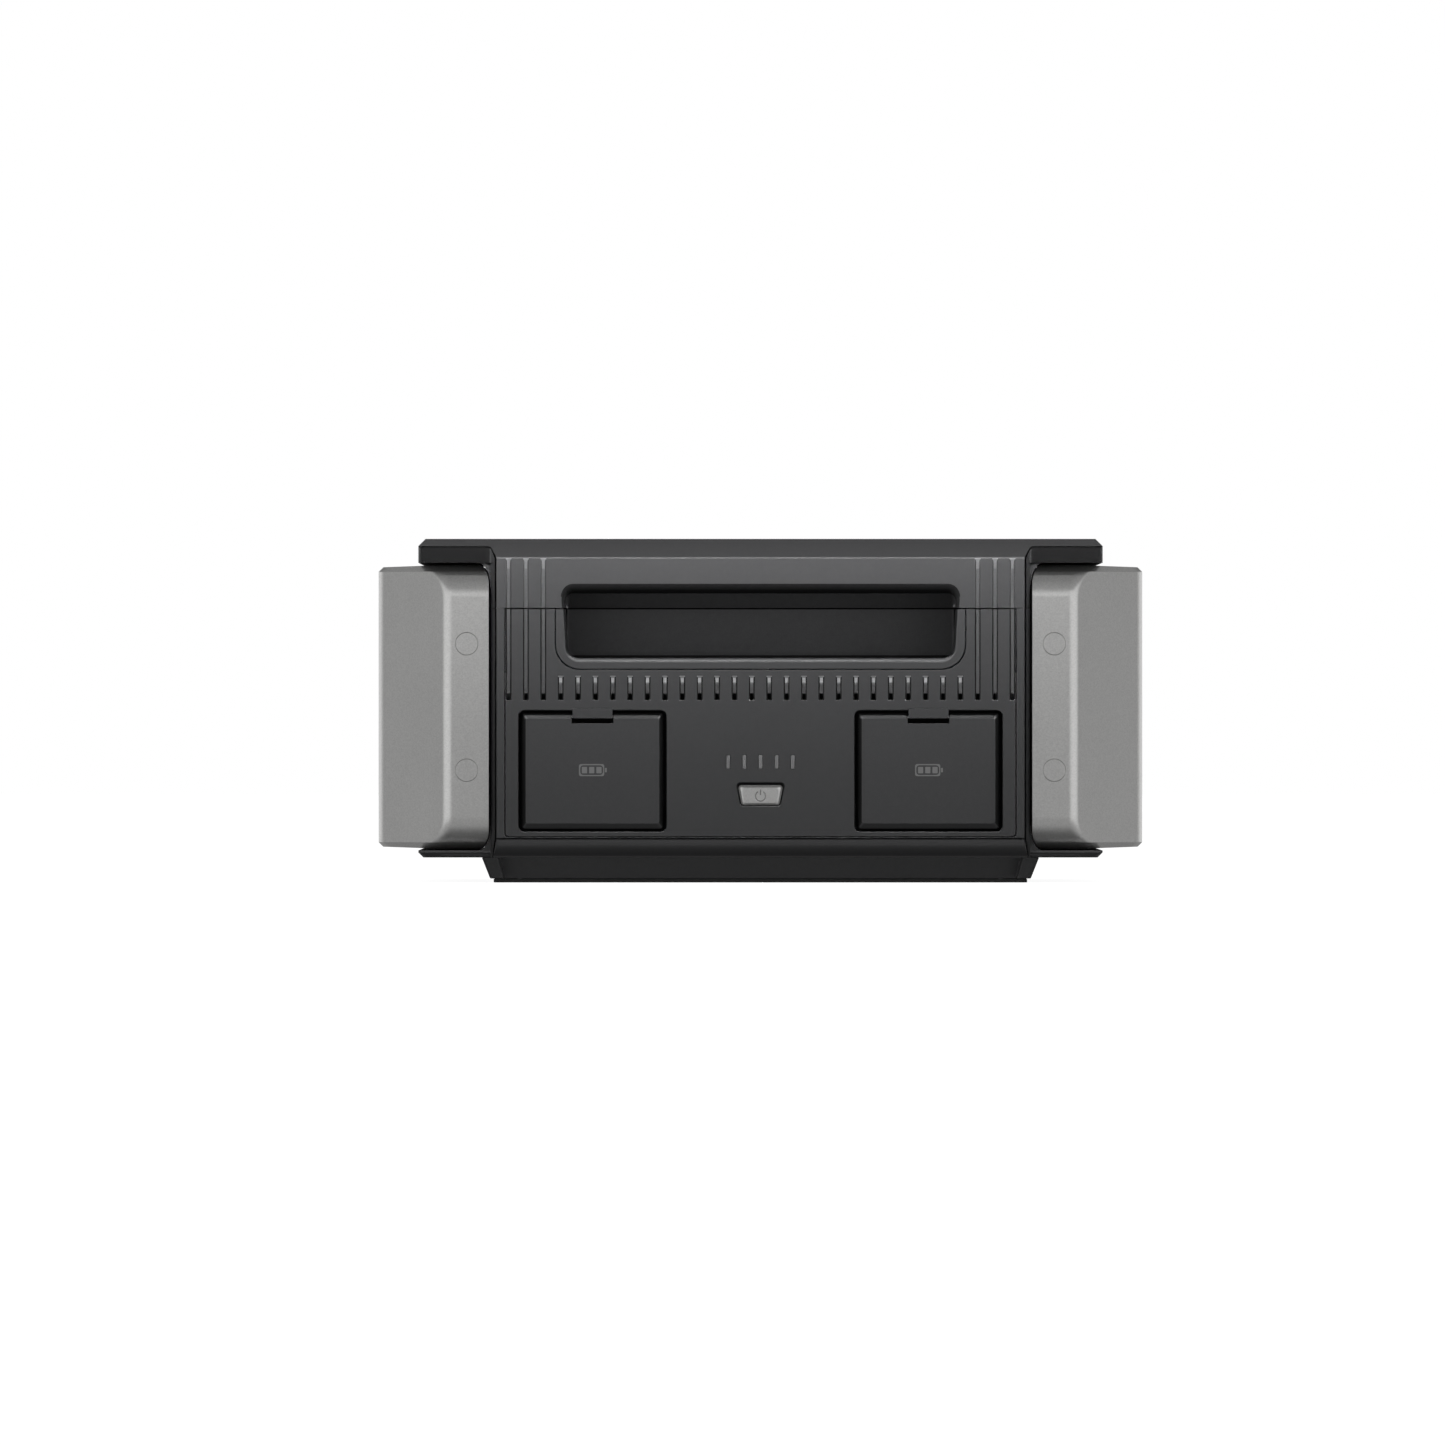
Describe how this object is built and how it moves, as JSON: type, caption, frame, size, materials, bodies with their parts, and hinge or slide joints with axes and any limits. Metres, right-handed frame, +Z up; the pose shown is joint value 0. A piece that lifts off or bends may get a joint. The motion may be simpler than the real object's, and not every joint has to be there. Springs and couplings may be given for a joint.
{
  "type": "power station battery",
  "caption": "Flat stackable battery of a power station: grips at both ends, metal side guards, covered ports, charge gauge and power button.",
  "frame": {"origin": "middle of the footprint, at the underside of the base pads", "axes": "+X to the right seen from the front, +Y from the front face to the rear, +Z up"},
  "size_m": [0.455, 0.66, 0.2045],
  "materials": {
    "case_plastic": "fine moulded texture, dark grey",
    "frame_plastic": "fine moulded texture, near black",
    "guard_metal": "fine metallic paint, warm silver grey",
    "rubber": "matte black rubber",
    "cover_plastic": "fine moulded texture, dark grey",
    "button_paint": "satin silver grey",
    "lens_plastic": "frosted grey diffuser",
    "steel": "zinc plated",
    "contact_brass": "plated contact",
    "board": "green solder mask",
    "cell_film": "blue film over aluminium",
    "inner_plastic": "plain black moulding"
  },
  "bodies": {
    "case": {"base_pad_front": "rubber", "base_pad_left": "rubber", "base_pad_rear": "rubber", "base_pad_right": "rubber", "base_plinth": "frame_plastic", "bms_board": "board", "busbar_carrier_left": "inner_plastic", "busbar_carrier_right": "inner_plastic", "cell_stack_left": "cell_film", "cell_stack_right": "cell_film", "charge_lens_1": "lens_plastic", "charge_lens_2": "lens_plastic", "charge_lens_3": "lens_plastic", "charge_lens_4": "lens_plastic", "charge_lens_5": "lens_plastic", "front_handle_cup": "case_plastic", "front_handle_hood": "case_plastic", "front_panel": "case_plastic", "guard_plug_front_left_lower": "guard_metal", "guard_plug_front_left_upper": "guard_metal", "guard_plug_front_right_lower": "guard_metal", "guard_plug_front_right_upper": "guard_metal", "guard_plug_rear_left_lower": "guard_metal", "guard_plug_rear_left_upper": "guard_metal", "guard_plug_rear_right_lower": "guard_metal", "guard_plug_rear_right_upper": "guard_metal", "guard_screw_front_left_lower": "steel", "guard_screw_front_left_upper": "steel", "guard_screw_front_right_lower": "steel", "guard_screw_front_right_upper": "steel", "guard_screw_rear_left_lower": "steel", "guard_screw_rear_left_upper": "steel", "guard_screw_rear_right_lower": "steel", "guard_screw_rear_right_upper": "steel", "indicator_board": "board", "lower_housing": "frame_plastic", "port_contact_left_negative": "contact_brass", "port_contact_left_positive": "contact_brass", "port_contact_right_negative": "contact_brass", "port_contact_right_positive": "contact_brass", "port_hinge_block_left": "cover_plastic", "port_hinge_block_right": "cover_plastic", "port_hinge_pin_left": "steel", "port_hinge_pin_right": "steel", "port_socket_left": "inner_plastic", "port_socket_right": "inner_plastic", "power_switch": "inner_plastic", "rear_handle_cup": "case_plastic", "rear_handle_hood": "case_plastic", "rear_panel": "case_plastic", "side_guard_left": "guard_metal", "side_guard_right": "guard_metal", "stack_end_plate_front": "steel", "stack_end_plate_rear": "steel", "top_cover": "case_plastic"},
    "port_cover_left": {"port_cover_left": "cover_plastic", "port_seal_left": "rubber"},
    "port_cover_right": {"port_cover_right": "cover_plastic", "port_seal_right": "rubber"},
    "power_button": {"power_button": "button_paint"}
  },
  "joints": [
    {"name": "port_cover_left_hinge", "type": "hinge", "parent": "case", "child": "port_cover_left", "pos_m": [-0.1, -0.3265, 0.0986], "axis": [-1, 0, 0], "range_deg": [0, 90]},
    {"name": "port_cover_right_hinge", "type": "hinge", "parent": "case", "child": "port_cover_right", "pos_m": [0.1, -0.3265, 0.0986], "axis": [-1, 0, 0], "range_deg": [0, 90]},
    {"name": "power_button_press", "type": "slide", "parent": "case", "child": "power_button", "axis": [0, 1, 0], "range_m": [0, 0.0012], "stiffness_N_per_m": 400}
  ]
}
